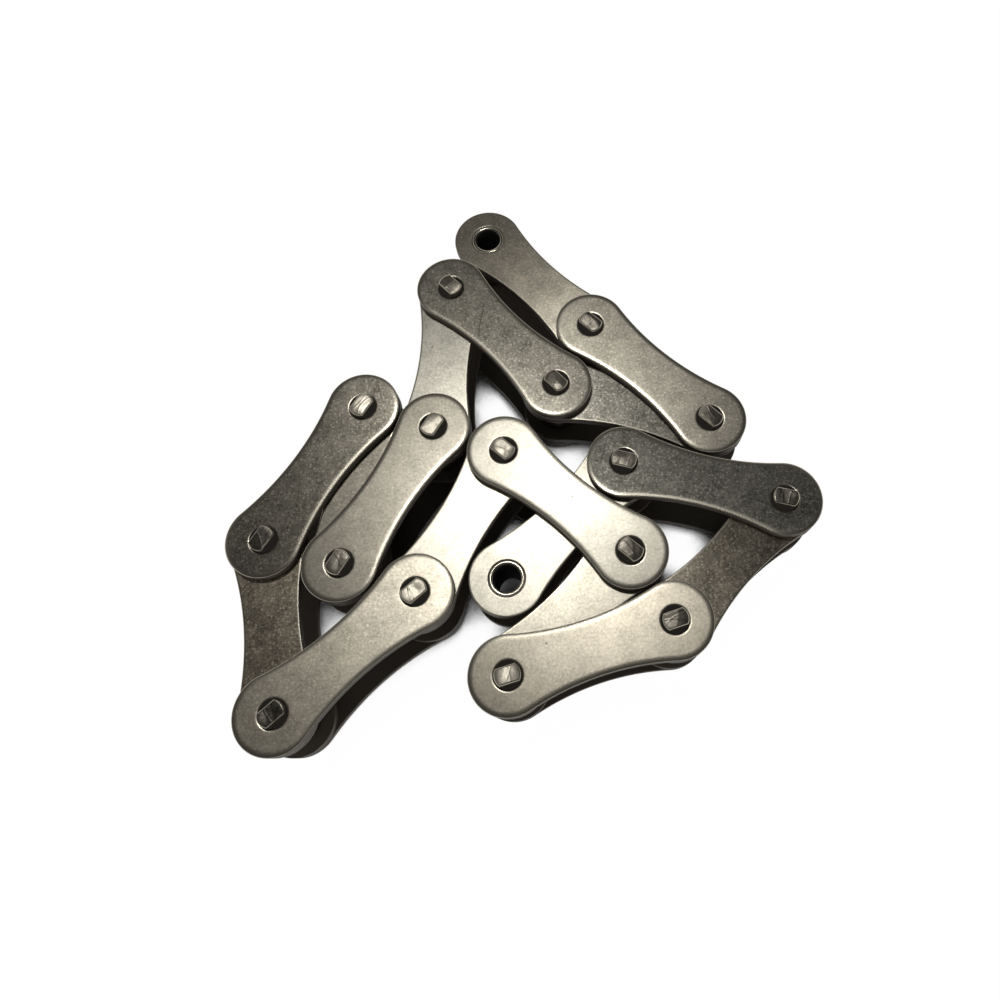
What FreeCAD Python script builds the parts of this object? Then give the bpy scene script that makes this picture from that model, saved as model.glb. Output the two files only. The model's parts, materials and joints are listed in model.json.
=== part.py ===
"""Double pitch roller chain: seventeen links, folded to and fro and laid on a flat surface.

Roller links and pin links take turns, and both ends are roller links with an open bush.
Waisted side plates stand on edge to the pins: the pins are pressed into the outer plates
and staked, the bushes are pressed into the inner plates, and a roller turns on each bush.
Millimetres, +Z up along the pins, origin below the middle of the laid chain.
"""

import FreeCAD, Part
import cmath
import math
import os

from FreeCAD import Placement, Rotation, Vector

# Side plates
pitch = 25.4
plate_height = 11.6
plate_waist = 8.25
plate_thickness = 1.5
plate_edge_radius = 0.3
hole_edge_radius = 0.22

# Stack of plates across the chain
inner_width = 7.85
plate_gap = 0.2

# Pins with staked ends
pin_diameter = 3.96
pin_overhang = 1.2
pin_end_chamfer = 0.25
pin_flat_width = 2.75
stake_ledge = 0.1

# Bushes
bush_diameter = 5.6
pin_clearance = 0.04
bush_mouth_radius = 0.4
bush_mouth_share = 0.6
bush_edge_chamfer = 0.1

# Rollers
roller_diameter = 7.92
roller_clearance = 0.04
roller_side_clearance = 0.15
roller_edge_radius = 0.4

# The way it lies: heading of each link in degrees from +X, from one end to the other,
# and the links of one layer that lie against each other
link_headings = [
    -46.3, -43.4, 164.1, 133.7, -95.0, -121.7, 85.7, -122.6, -80.8,
    40.6, 59.2, -40.9, -136.5, 16.1, 44.4, 164.3, -136.5,
]
nested_links = [
    (0, 2), (0, 4), (1, 3), (1, 15), (2, 16), (4, 6), (4, 10), (5, 7), (5, 9),
    (5, 11), (6, 8), (6, 10), (10, 16), (11, 13), (11, 15), (12, 14), (12, 16),
]
lay_clearance = 0.4
lay_slack = 0.9
settle_margin = 0.05
settle_stations = 13
settle_sweeps = 300

# Sizes that follow
link_count = len(link_headings)
end_radius = plate_height / 2
waist_radius = plate_waist / 2
hollow_radius = ((pitch / 2) ** 2 + waist_radius**2 - end_radius**2) / (2 * (end_radius - waist_radius))
hollow_offset = waist_radius + hollow_radius
bush_bore = pin_diameter + 2 * pin_clearance
bush_length = inner_width + 2 * plate_thickness
roller_bore = bush_diameter + 2 * roller_clearance
roller_width = inner_width - 2 * roller_side_clearance
inner_plate_level = inner_width / 2
outer_plate_level = inner_plate_level + plate_thickness + plate_gap
pin_half_length = outer_plate_level + plate_thickness + pin_overhang

X_AXIS = Vector(1, 0, 0)
Z_AXIS = Vector(0, 0, 1)


def plate_radius(share):
    """Radius of the largest disc inside a plate, centred on its axis at a share of the pitch."""
    return math.hypot((share - 0.5) * pitch, hollow_offset) - hollow_radius


def walk(headings):
    """Joint centres of a chain that starts at zero, as complex numbers in plan."""
    points = [0j]
    for heading in headings:
        points.append(points[-1] + cmath.rect(pitch, math.radians(heading)))
    return points


def closest_discs(points, first, second, discs):
    """Gap between two links' plates, with the share of the pitch where each is closest."""
    along_first = points[first + 1] - points[first]
    along_second = points[second + 1] - points[second]
    best = None
    for share_a, radius_a in discs:
        spot = points[first] + along_first * share_a - points[second]
        for share_b, radius_b in discs:
            apart = spot - along_second * share_b
            gap = abs(apart) - radius_a - radius_b
            if best is None or gap < best[0]:
                best = (gap, share_a, share_b, apart / abs(apart))
    return best


def shift_link(points, link, share, push):
    """Move a link's two joints so that the spot at a share of its pitch moves by the push."""
    spread = (1 - share) ** 2 + share**2
    points[link] += push * (1 - share) / spread
    points[link + 1] += push * share / spread


def restore_pitch(points):
    """Move each link's joints evenly until the link is one pitch long again."""
    for link in range(link_count):
        along = points[link + 1] - points[link]
        half_error = along * (1 - pitch / abs(along)) / 2
        points[link] += half_error
        points[link + 1] -= half_error


def settle(points):
    """Ease plates of the same layer apart to the lay clearance, and nested ones back to the lay slack."""
    shares = [step / (settle_stations - 1) for step in range(settle_stations)]
    discs = [(share, plate_radius(share)) for share in shares]
    reach = pitch + plate_height + lay_clearance
    pairs = [(a, b) for a in range(link_count) for b in range(a + 2, link_count, 2)]
    for sweep in range(settle_sweeps):
        moved = False
        for a, b in pairs:
            middles_apart = points[a] + points[a + 1] - points[b] - points[b + 1]
            if abs(middles_apart) / 2 > reach:
                continue
            gap, share_a, share_b, away = closest_discs(points, a, b, discs)
            if gap < lay_clearance:
                change = lay_clearance + settle_margin - gap
            elif gap > lay_slack and (a, b) in nested_links:
                change = lay_slack - settle_margin - gap
            else:
                continue
            shift_link(points, a, share_a, away * change / 2)
            shift_link(points, b, share_b, -away * change / 2)
            moved = True
        if not moved:
            break
        restore_pitch(points)
    return points


def lay_out():
    """Placement of each link: its first joint at the origin of its own frame, its axis along X."""
    points = settle(walk(link_headings))
    headings = [math.degrees(cmath.phase(there - here)) for here, there in zip(points, points[1:])]
    points = walk(headings)
    middle_x = (min(p.real for p in points) + max(p.real for p in points)) / 2
    middle_y = (min(p.imag for p in points) + max(p.imag for p in points)) / 2
    places = []
    for point, heading in zip(points, headings):
        base = Vector(point.real - middle_x, point.imag - middle_y, pin_half_length)
        places.append(Placement(base, Rotation(Z_AXIS, heading)))
    return places


def plate_outline():
    """Closed outline of a waisted plate: two round ends joined by two hollow sides."""
    touch = Vector(pitch / 2, hollow_offset, 0) * (end_radius / (end_radius + hollow_radius))
    left_top = Vector(touch.x, touch.y, 0)
    left_bottom = Vector(touch.x, -touch.y, 0)
    right_top = Vector(pitch - touch.x, touch.y, 0)
    right_bottom = Vector(pitch - touch.x, -touch.y, 0)
    arcs = [
        Part.Arc(left_bottom, Vector(-end_radius, 0, 0), left_top),
        Part.Arc(left_top, Vector(pitch / 2, waist_radius, 0), right_top),
        Part.Arc(right_top, Vector(pitch + end_radius, 0, 0), right_bottom),
        Part.Arc(right_bottom, Vector(pitch / 2, -waist_radius, 0), left_bottom),
    ]
    return Part.Wire([arc.toShape() for arc in arcs])


def edges_at(shape, level, accept):
    """Edges of a shape that lie at one level and pass a test."""
    flat = [e for e in shape.Edges if abs(e.BoundBox.ZMin - level) + abs(e.BoundBox.ZMax - level) < 1e-4]
    return [edge for edge in flat if accept(edge)]


def make_plate(hole_diameter):
    """Side plate lying on its inward face, with its outward edges rounded and two holes."""
    plate = Part.Face(plate_outline()).extrude(Z_AXIS * plate_thickness)
    for hole_x in (0, pitch):
        plate = plate.cut(Part.makeCylinder(hole_diameter / 2, plate_thickness, Vector(hole_x, 0, 0)))
    hole_edges = edges_at(plate, plate_thickness, lambda edge: len(edge.Vertexes) == 1)
    plate = plate.makeFillet(hole_edge_radius, hole_edges)
    rim_edges = edges_at(plate, plate_thickness, lambda edge: len(edge.Vertexes) == 2)
    return plate.makeFillet(plate_edge_radius, rim_edges)


def upper_and_lower(plate, level):
    """The plate above the chain's middle with its inward face at a level, and its twin below."""
    upper = plate.copy()
    upper.translate(Z_AXIS * level)
    lower = upper.copy()
    lower.rotate(Vector(0, 0, 0), X_AXIS, 180)
    return upper, lower


def revolve_profile(corners):
    """Solid of revolution about Z from radius and height pairs."""
    wire = Part.makePolygon([Vector(radius, 0, height) for radius, height in corners + corners[:1]])
    return Part.Face(wire).revolve(Vector(0, 0, 0), Z_AXIS, 360)


def make_pin():
    """Pin with chamfered ends, each staked flat on both sides along the link."""
    radius = pin_diameter / 2
    nose = radius - pin_end_chamfer
    shoulder = pin_half_length - pin_end_chamfer
    pin = revolve_profile(
        [(0, -pin_half_length), (nose, -pin_half_length), (radius, -shoulder),
         (radius, shoulder), (nose, pin_half_length), (0, pin_half_length)]
    )
    stake_depth = pin_overhang - stake_ledge
    for side in (1, -1):
        for level in (pin_half_length - stake_depth, -pin_half_length):
            middle = side * (pin_flat_width / 2 + radius / 2)
            corner = Vector(-radius, middle - radius / 2, level)
            pin = pin.cut(Part.makeBox(pin_diameter, radius, stake_depth, corner))
    return pin


def make_bush():
    """Bush with a rounded mouth at both ends of its bore and a broken outer edge."""
    tube = Part.makeCylinder(bush_diameter / 2, bush_length, Vector(0, 0, -bush_length / 2))
    tube = tube.cut(Part.makeCylinder(bush_bore / 2, bush_length, Vector(0, 0, -bush_length / 2)))
    end_width = (bush_diameter - bush_bore) / 2 - bush_edge_chamfer
    mouth_radius = min(bush_mouth_radius, bush_mouth_share * end_width)
    for level in (bush_length / 2, -bush_length / 2):
        mouth = edges_at(tube, level, lambda edge: edge.Curve.Radius < (bush_bore + bush_diameter) / 4)
        tube = tube.makeFillet(mouth_radius, mouth)
        rim = edges_at(tube, level, lambda edge: abs(edge.Curve.Radius - bush_diameter / 2) < 1e-4)
        tube = tube.makeChamfer(bush_edge_chamfer, rim)
    return tube


def make_roller():
    """Plain roller with rounded outer edges."""
    tube = Part.makeCylinder(roller_diameter / 2, roller_width, Vector(0, 0, -roller_width / 2))
    tube = tube.cut(Part.makeCylinder(roller_bore / 2, roller_width, Vector(0, 0, -roller_width / 2)))
    for level in (roller_width / 2, -roller_width / 2):
        rim = edges_at(tube, level, lambda edge: abs(edge.Curve.Radius - roller_diameter / 2) < 1e-4)
        tube = tube.makeFillet(roller_edge_radius, rim)
    return tube


def at_both_joints(piece):
    """The piece at the link's first joint, and a copy at its second."""
    second = piece.copy()
    second.translate(X_AXIS * pitch)
    return [piece.copy(), second]


def save(name, solids, place):
    """Write one node: a group of solids of a link, put where the link lies."""
    group = Part.makeCompound(solids) if len(solids) > 1 else solids[0].copy()
    group.Placement = place.multiply(group.Placement)
    group.exportStep(f"parts/{name}.step")


def save_roller_link(number, place):
    """Roller link: two inner plates on two bushes, with a roller turning on each bush."""
    save(f"inner_plates_{number}", inner_plates, place)
    save(f"bushes_{number}", bushes, place)
    for letter, roller in zip("ab", rollers):
        save(f"roller_{number}{letter}", [roller], place)


def save_pin_link(number, place):
    """Pin link: two outer plates on two pins."""
    save(f"outer_plate_top_{number}", [outer_plates[0]], place)
    save(f"outer_plate_bottom_{number}", [outer_plates[1]], place)
    save(f"pins_{number}", pins, place)


# One of each piece, in its link's own frame
inner_plates = upper_and_lower(make_plate(bush_diameter), inner_plate_level)
outer_plates = upper_and_lower(make_plate(pin_diameter), outer_plate_level)
pins = at_both_joints(make_pin())
bushes = at_both_joints(make_bush())
rollers = at_both_joints(make_roller())

# The chain as it lies
os.makedirs("parts", exist_ok=True)
for index, link_place in enumerate(lay_out()):
    link_number = index // 2 + 1
    if index % 2 == 0:
        save_roller_link(link_number, link_place)
    else:
        save_pin_link(link_number, link_place)
    print(index, [round(v, 4) for v in link_place.Base], round(math.degrees(link_place.Rotation.Angle), 3))
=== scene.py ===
"""Double pitch roller chain, laid folded on a pale floor and dressed for rendering.

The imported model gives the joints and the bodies. Every plate, pin, bush and roller is built here as a closed
surface with its rolled edges, staked ends and steel finish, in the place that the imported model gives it.
All lengths are in metres.
"""

import json
import logging
import math
from dataclasses import dataclass
from enum import Enum

import bmesh
import bpy
import numpy as np
from mathutils import Matrix, Vector

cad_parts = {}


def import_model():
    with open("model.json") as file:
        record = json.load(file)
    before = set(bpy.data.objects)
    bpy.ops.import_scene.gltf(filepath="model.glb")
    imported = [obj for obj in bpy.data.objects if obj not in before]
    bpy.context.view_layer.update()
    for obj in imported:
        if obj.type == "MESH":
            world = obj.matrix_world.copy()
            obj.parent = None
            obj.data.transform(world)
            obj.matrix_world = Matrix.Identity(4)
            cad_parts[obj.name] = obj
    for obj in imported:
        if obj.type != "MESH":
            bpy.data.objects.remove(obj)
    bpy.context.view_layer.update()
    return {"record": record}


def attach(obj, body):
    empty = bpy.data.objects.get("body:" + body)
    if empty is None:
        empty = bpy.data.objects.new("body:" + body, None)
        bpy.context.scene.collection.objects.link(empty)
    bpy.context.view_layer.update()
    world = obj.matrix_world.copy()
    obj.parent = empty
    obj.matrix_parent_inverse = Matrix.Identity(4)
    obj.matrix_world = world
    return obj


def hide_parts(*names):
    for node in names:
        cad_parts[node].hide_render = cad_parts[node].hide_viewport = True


LOG = logging.getLogger("roller_chain")
MM = 0.001
UP = np.array([0.0, 0.0, 1.0])
WELD_DISTANCE = 1e-7
Span = tuple[float, float]
Triple = tuple[float, float, float]
Colour = tuple[float, float, float]
Section = tuple[np.ndarray, np.ndarray, np.ndarray]


class Steel(Enum):
    """The chain's four steels, named as the record's material slots."""

    PLATE = "plate_steel"
    PIN = "pin_steel"
    BUSH = "bush_steel"
    ROLLER = "roller_steel"


class Mark(Enum):
    """What is known of each point of a surface, for its finish."""

    RUBBED = "rubbed"
    # Dark oily metal on walls, in bores and between plates: partly real oil, partly painted shade where light
    # does not reach.
    SHELTERED = "sheltered"
    # Tone differs at random on plates, bushes and rollers; on pin ends it is painted highlight and painted
    # shade.
    TONE = "tone"
    SPECKLE = "speckle"
    WARMTH = "warmth"


class Side(Enum):
    """The upper or the lower half of a link."""

    TOP = 1
    BOTTOM = -1


# Shapes

@dataclass(frozen=True)
class ChainSizes:
    """Sizes that the chain's pieces share."""

    pitch: float = 25.4 * MM
    plate_height: float = 11.6 * MM
    plate_waist: float = 8.25 * MM
    plate_thickness: float = 1.5 * MM
    inner_width: float = 7.85 * MM
    plate_gap: float = 0.2 * MM
    pin_diameter: float = 3.96 * MM
    pin_overhang: float = 1.2 * MM
    bush_diameter: float = 5.6 * MM
    bush_bore: float = 4.04 * MM
    roller_diameter: float = 7.92 * MM
    roller_bore: float = 5.68 * MM
    roller_width: float = 7.55 * MM

    @property
    def inner_level(self) -> float:
        """Height of an inner plate's inward face over the chain's middle."""
        return self.inner_width / 2

    @property
    def outer_level(self) -> float:
        """Height of an outer plate's inward face over the chain's middle."""
        return self.inner_level + self.plate_thickness + self.plate_gap

    @property
    def pin_level(self) -> float:
        """Height of a pin's end over the chain's middle."""
        return self.outer_level + self.plate_thickness + self.pin_overhang

    def joint(self, far: bool) -> np.ndarray:
        """Place of a link's first or second joint on the link's own axes."""
        return np.array([self.pitch if far else 0.0, 0.0, 0.0])


@dataclass(frozen=True)
class LinkLook:
    """How the plates of one link catch the light.

    Attributes:
        east: Lean of their faces towards +X, in degrees, which slack and bowing allow.
        north: Lean towards +Y, in degrees.
        speckle: Strength of their speckled grain and of the painted glints in it, from 0 to 1.
        warmth: Their hue, from bluish at -1 to brownish at 1.
        gain: Lean that they gain from end to end towards +X and +Y, in degrees, because they are bowed.
    """

    east: float = 0.0
    north: float = 0.0
    speckle: float = 0.4
    warmth: float = 0.0
    gain: Span = (0.0, 0.0)

    def slopes(self, share: np.ndarray) -> np.ndarray:
        """The lean as slopes towards +X and +Y, at shares of the length from -0.5 to 0.5."""
        return np.tan(np.radians(np.array([self.east, self.north]) + share[:, None] * np.array(self.gain)))


@dataclass(frozen=True)
class LinkPlace:
    """Where a link lies.

    Attributes:
        start: The first joint, in the chain's middle plane.
        along: Unit vector from the first joint to the second.
        look: How its plates catch the light.
    """

    start: np.ndarray
    along: np.ndarray
    look: LinkLook

    def placed(self, points: np.ndarray, side: Side) -> np.ndarray:
        """Carries points from the link's own axes to the chain's.

        Args:
            points: Points with x along the link, y across it and z from the middle plane outwards.
            side: Half of the link; the lower half is the upper one turned half round about x.

        Returns:
            The points in the chain's frame.
        """
        across = np.array([-self.along[1], self.along[0], 0.0])
        axes = np.stack([self.along, across * side.value, UP * side.value])
        return self.start + points @ axes


class Surface:
    """Collects grids of points with their marks and joins them into one closed mesh."""

    def __init__(self, place: LinkPlace | None = None) -> None:
        """Starts with no grid.

        Args:
            place: The link whose look the piece takes, if any.
        """
        self.tone = 0.5
        self.place = place
        self.look = place.look if place else LinkLook()
        self.points: list[np.ndarray] = []
        self.marks: list[np.ndarray] = []
        self.faces: list[np.ndarray] = []
        self.count = 0

    def add(self, points: np.ndarray, rubbed: np.ndarray | float = 0.0, sheltered: np.ndarray | float = 0.0,
            closed: bool = False) -> None:
        """Adds one grid, in the tone that the surface has at the time.

        Args:
            points: Rows by columns by three.
            rubbed: Share of bright rubbed metal, for each point or for all.
            sheltered: Share of dark oily metal on walls, in bores and between plates, partly oil and partly
                painted shade, for each point or for all.
            closed: Whether the last column joins the first.
        """
        rows, columns = points.shape[:2]
        marks = np.zeros((rows, columns, len(Mark)))
        for layer, value in enumerate((rubbed, sheltered, self.tone, self.look.speckle, self.look.warmth)):
            marks[..., layer] = value
        number = self.count + np.arange(rows * columns).reshape(rows, columns)
        if closed:
            number = np.concatenate([number, number[:, :1]], axis=1)
        quads = np.stack([number[:-1, :-1], number[:-1, 1:], number[1:, 1:], number[1:, :-1]], axis=-1)
        self.points.append(points.reshape(-1, 3))
        self.marks.append(marks.reshape(-1, len(Mark)))
        self.faces.append(quads.reshape(-1, 4))
        self.count += rows * columns

    def piece(self, name: str) -> bpy.types.Object:
        """Makes the mesh object: welds the grids' seams, turns the faces outwards and shades them smoothly.

        Args:
            name: Name of the piece.

        Returns:
            The object, at the origin.
        """
        mesh = bpy.data.meshes.new(name)
        mesh.from_pydata(np.concatenate(self.points).tolist(), [], np.concatenate(self.faces).tolist())
        values = np.concatenate(self.marks).astype(np.float32)
        for column, mark in enumerate(Mark):
            layer = mesh.attributes.new(mark.value, "FLOAT", "POINT")
            layer.data.foreach_set("value", np.ascontiguousarray(values[:, column]))
        shell = bmesh.new()
        shell.from_mesh(mesh)
        bmesh.ops.remove_doubles(shell, verts=shell.verts, dist=WELD_DISTANCE)
        bmesh.ops.dissolve_degenerate(shell, edges=shell.edges, dist=WELD_DISTANCE)
        bmesh.ops.recalc_face_normals(shell, faces=shell.faces)
        shell.to_mesh(mesh)
        shell.free()
        mesh.shade_smooth()
        if self.place:
            lean_shading(mesh, self.place)
        piece = bpy.data.objects.new(name, mesh)
        bpy.context.scene.collection.objects.link(piece)
        return piece


def lean_shading(mesh: bpy.types.Mesh, place: LinkPlace) -> None:
    """Turns a mesh's normals by a small lean.

    Each normal n becomes n + w x n, with w level and square to the lean, and gets its unit length back.

    Args:
        mesh: The mesh.
        place: The link, which gives the lean along its length.
    """
    points = np.empty(len(mesh.vertices) * 3, dtype=np.float32)
    normals = np.empty_like(points)
    mesh.vertices.foreach_get("co", points)
    mesh.vertex_normals.foreach_get("vector", normals)
    normals = normals.reshape(-1, 3)
    reach = (points.reshape(-1, 3) - place.start) @ place.along
    lean = place.look.slopes((reach - reach.min()) / np.ptp(reach) - 0.5)
    turn = np.stack([-lean[:, 1], lean[:, 0], np.zeros(reach.size)], axis=1)
    leaned = normals + np.cross(turn, normals)
    leaned /= np.linalg.norm(leaned, axis=1, keepdims=True)
    mesh.normals_split_custom_set_from_vertices(leaned.tolist())


def quarter(steps: int) -> np.ndarray:
    """Angles from 0 to a quarter turn."""
    return np.linspace(0.0, math.pi / 2, steps + 1)


def smooth_step(low: float, high: float, value: np.ndarray) -> np.ndarray:
    """Goes smoothly from 0 at low to 1 at high: 3 t t - 2 t t t of the share t between them."""
    share = np.clip((value - low) / (high - low), 0.0, 1.0)
    return share * share * (3.0 - 2.0 * share)


def at_heights(rows: np.ndarray, heights: np.ndarray) -> np.ndarray:
    """Gives each row of flat points its own height as z."""
    return np.concatenate([rows, np.broadcast_to(heights[:, None, None], rows.shape[:2] + (1,))], axis=2)


def revolved(profile: np.ndarray, steps: int) -> np.ndarray:
    """Turns a profile about the upright axis: (r cos a, r sin a, z) for each profile point and angle a.

    Args:
        profile: Points of radius and height.
        steps: Columns of the full turn.

    Returns:
        Grid with one row for each profile point, to be closed round its columns.
    """
    angle = np.linspace(0.0, 2.0 * math.pi, steps, endpoint=False)
    ring = np.stack([np.cos(angle), np.sin(angle), np.zeros(steps)], axis=1)
    return profile[:, None, :1] * ring[None] + profile[:, None, 1:] * UP


# Side plates

@dataclass(frozen=True)
class EdgeProfile:
    """Section of a punched and tumbled edge: a crown, a tight corner, a wall and a broken inward corner.

    Attributes:
        crown_width: Width of the crown beside the corner.
        crown_slope: Slope that the crown reaches at the corner, in degrees.
        corner_radius: Radius of the outward corner.
        inside_radius: Radius of the inward corner.
        oil_shade_start: Share of the corner where its dark oily part starts, which is partly oil and partly
            painted shade.
        oil_shade_growth: Share of the corner over which that part grows.
        rubbed_span: Shares of the crown where rubbing starts and is full.
        inside_rubbed: Share of rubbed metal on the inward corner.
        inside_oil_shade: Share of dark oily metal there, partly oil and partly painted shade.
        wall_shares: Where the rows between the wall's ends lie.
    """

    crown_width: float
    crown_slope: float
    corner_radius: float
    inside_radius: float
    oil_shade_start: float = 0.25
    oil_shade_growth: float = 0.5
    rubbed_span: Span = (0.15, 0.8)
    inside_rubbed: float = 0.4
    inside_oil_shade: float = 0.7
    wall_shares: Span = (0.33, 0.67)
    crown_steps: int = 7
    corner_steps: int = 5
    inside_steps: int = 3

    @property
    def reach(self) -> float:
        """How far the rounded part reaches in from the edge."""
        return self.crown_width + self.corner_radius * (1 - math.sin(math.radians(self.crown_slope)))

    def section(self, thickness: float) -> Section:
        """Lists the section from the outward face to the inward one.

        The crown drops with the square of the distance, the corner is an arc from the crown's slope to
        upright, the wall is straight and the inward corner is a quarter circle.

        Args:
            thickness: Thickness of the plate.

        Returns:
            Points of inset and height, and for each point the shares of rubbed and of sheltered metal.
        """
        slope = math.radians(self.crown_slope)
        share = np.linspace(0.0, 1.0, self.crown_steps + 1)
        crown_drop = 0.5 * math.tan(slope) * self.crown_width
        crown = np.stack([self.reach - self.crown_width * share, thickness - crown_drop * share ** 2], axis=1)
        bend = np.linspace(slope, math.pi / 2, self.corner_steps + 1)[1:]
        corner_heights = thickness - crown_drop - self.corner_radius * (math.cos(slope) - np.cos(bend))
        corner = np.stack([self.corner_radius * (1 - np.sin(bend)), corner_heights], axis=1)
        wall_high = corner_heights[-1]
        wall_heights = wall_high + (self.inside_radius - wall_high) * np.array(self.wall_shares)
        wall = np.stack([np.zeros(wall_heights.size), wall_heights], axis=1)
        inside = quarter(self.inside_steps)
        lower = self.inside_radius * np.stack([1 - np.cos(inside), 1 - np.sin(inside)], axis=1)
        corner_share = np.linspace(0.0, 1.0, self.corner_steps + 1)[1:]
        oil_shade_end = self.oil_shade_start + self.oil_shade_growth
        rubbed = np.concatenate([smooth_step(*self.rubbed_span, share), 1 - corner_share,
                                 np.zeros(wall_heights.size), np.full(inside.size, self.inside_rubbed)])
        # The corner's lower part, the wall and the inward corner take the dark oily colour: partly oil, partly
        # painted shade.
        sheltered = np.concatenate([np.zeros(share.size),
                                    smooth_step(self.oil_shade_start, oil_shade_end, corner_share),
                                    np.ones(wall_heights.size), np.full(inside.size, self.inside_oil_shade)])
        return np.concatenate([crown, corner, wall, lower]), rubbed, sheltered


@dataclass(frozen=True)
class SidePlate:
    """A waisted side plate with two holes, lying on its inward face.

    Attributes:
        sizes: The chain's sizes.
        hole_radius: Radius of both holes.
        rim: Section of the outer edge.
        hole_edge: Section of the holes' edges.
        hole_rubbing: How much less the holes' edges are rubbed than the rim.
        inward_oil_shade: Share of dark oily metal on the inward face, partly oil and partly painted shade
            between the plates.
        face_shares: Where the rows of a flat face lie between the hole and the rim.
    """

    sizes: ChainSizes
    hole_radius: float
    rim: EdgeProfile
    hole_edge: EdgeProfile
    hole_rubbing: float = 0.6
    inward_oil_shade: float = 0.9
    face_shares: tuple[float, ...] = (0.0, 0.06, 0.25, 0.5, 0.75, 0.94, 1.0)
    hollow_steps: int = 14
    end_steps: int = 64
    middle_steps: int = 10

    @property
    def end_radius(self) -> float:
        """Radius of the round ends."""
        return self.sizes.plate_height / 2

    @property
    def hollow_radius(self) -> float:
        """Radius of the hollow sides: the arc through the waist that touches both round ends."""
        waist = self.sizes.plate_waist / 2
        half = self.sizes.pitch / 2
        return (half ** 2 + waist ** 2 - self.end_radius ** 2) / (2 * (self.end_radius - waist))

    @property
    def rim_count(self) -> int:
        """Columns of the outline that lie on the plate's edge."""
        return 2 * self.hollow_steps + self.end_steps + 1

    def outline(self, inset: float) -> np.ndarray:
        """Gives the outline round the first hole at an inset from the edge, closed along the plate's middle.

        The round end is an arc about the hole with the inset taken off its radius; the hollow side is an arc
        about a point beside the plate with the inset added; they touch on the line between their centres.

        Args:
            inset: Distance in from the edge.

        Returns:
            Points of x and y, in turn from the middle of the upper side round the hole and back.
        """
        half = self.sizes.pitch / 2
        offset = self.sizes.plate_waist / 2 + self.hollow_radius
        touch = math.atan2(offset, half)
        swing = np.linspace(0.0, math.pi / 2 - touch, self.hollow_steps, endpoint=False)
        bend = self.hollow_radius + inset
        upper = np.stack([half - bend * np.sin(swing), offset - bend * np.cos(swing)], axis=1)
        turn = np.linspace(touch, 2 * math.pi - touch, self.end_steps + 1)
        end = (self.end_radius - inset) * np.stack([np.cos(turn), np.sin(turn)], axis=1)
        lower = upper[::-1] * np.array([1.0, -1.0])
        rise = np.linspace(-1.0, 1.0, self.middle_steps + 1)[1:-1]
        middle = np.stack([np.full(rise.size, half), rise * (offset - bend)], axis=1)
        return np.concatenate([upper, end, lower, middle])

    def directions(self) -> np.ndarray:
        """Unit vectors from the hole's middle towards the points of the outline."""
        edge = self.outline(0.0)
        return edge / np.linalg.norm(edge, axis=1, keepdims=True)

    def face(self, rim_inset: float, hole_inset: float, height: float) -> np.ndarray:
        """Fills a flat face between the hole and the outline: ring + share (outline - ring).

        Args:
            rim_inset: Inset of the face's edge from the outline.
            hole_inset: Inset of its edge from the hole.
            height: Height of the face.

        Returns:
            Grid with a row for each share.
        """
        ring = (self.hole_radius + hole_inset) * self.directions()
        share = np.array(self.face_shares)
        rows = ring + share[:, None, None] * (self.outline(rim_inset) - ring)
        return at_heights(rows, np.full(share.size, height))

    def build(self, surface: Surface, place: LinkPlace, side: Side, level: float) -> None:
        """Adds the whole plate to a surface: the half round the first hole, and its mirror image.

        Args:
            surface: Surface to add to.
            place: Place of the link.
            side: Upper or lower plate.
            level: Height of the inward face over the chain's middle.
        """
        thick = self.sizes.plate_thickness
        rim, rim_rubbed, rim_oil_shade = self.rim.section(thick)
        hole, hole_rubbed, hole_oil_shade = self.hole_edge.section(thick)
        edges = np.stack([self.outline(inset)[:self.rim_count] for inset in rim[:, 0]])
        rim_grid = at_heights(edges, rim[:, 1])
        rings = (self.hole_radius + hole[:, 0])[:, None, None] * self.directions()
        hole_grid = at_heights(rings, hole[:, 1])
        outward = self.face(self.rim.reach, self.hole_edge.reach, thick)
        inward = self.face(self.rim.inside_radius, self.hole_edge.inside_radius, 0.0)
        raised = level * UP
        mirror = np.array([-1.0, 1.0, 1.0])
        for turn, shift in ((np.ones(3), raised), (mirror, self.sizes.joint(True) + raised)):
            surface.add(place.placed(rim_grid * turn + shift, side), rim_rubbed[:, None],
                        rim_oil_shade[:, None])
            surface.add(place.placed(hole_grid * turn + shift, side),
                        self.hole_rubbing * hole_rubbed[:, None], hole_oil_shade[:, None], closed=True)
            surface.add(place.placed(outward * turn + shift, side), closed=True)
            # The inward face takes the dark oily colour: partly oil, partly painted shade between the plates.
            surface.add(place.placed(inward * turn + shift, side), sheltered=self.inward_oil_shade, closed=True)


OUTER_RIM = EdgeProfile(0.75 * MM, 9.0, 0.15 * MM, 0.1 * MM)
OUTER_HOLE = EdgeProfile(0.25 * MM, 12.0, 0.25 * MM, 0.08 * MM, oil_shade_start=-0.2, crown_steps=4)
INNER_RIM = EdgeProfile(0.25 * MM, 5.0, 0.12 * MM, 0.1 * MM)
INNER_HOLE = EdgeProfile(0.1 * MM, 8.0, 0.1 * MM, 0.08 * MM, oil_shade_start=0.0, crown_steps=3, corner_steps=4)


# Pins

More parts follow.
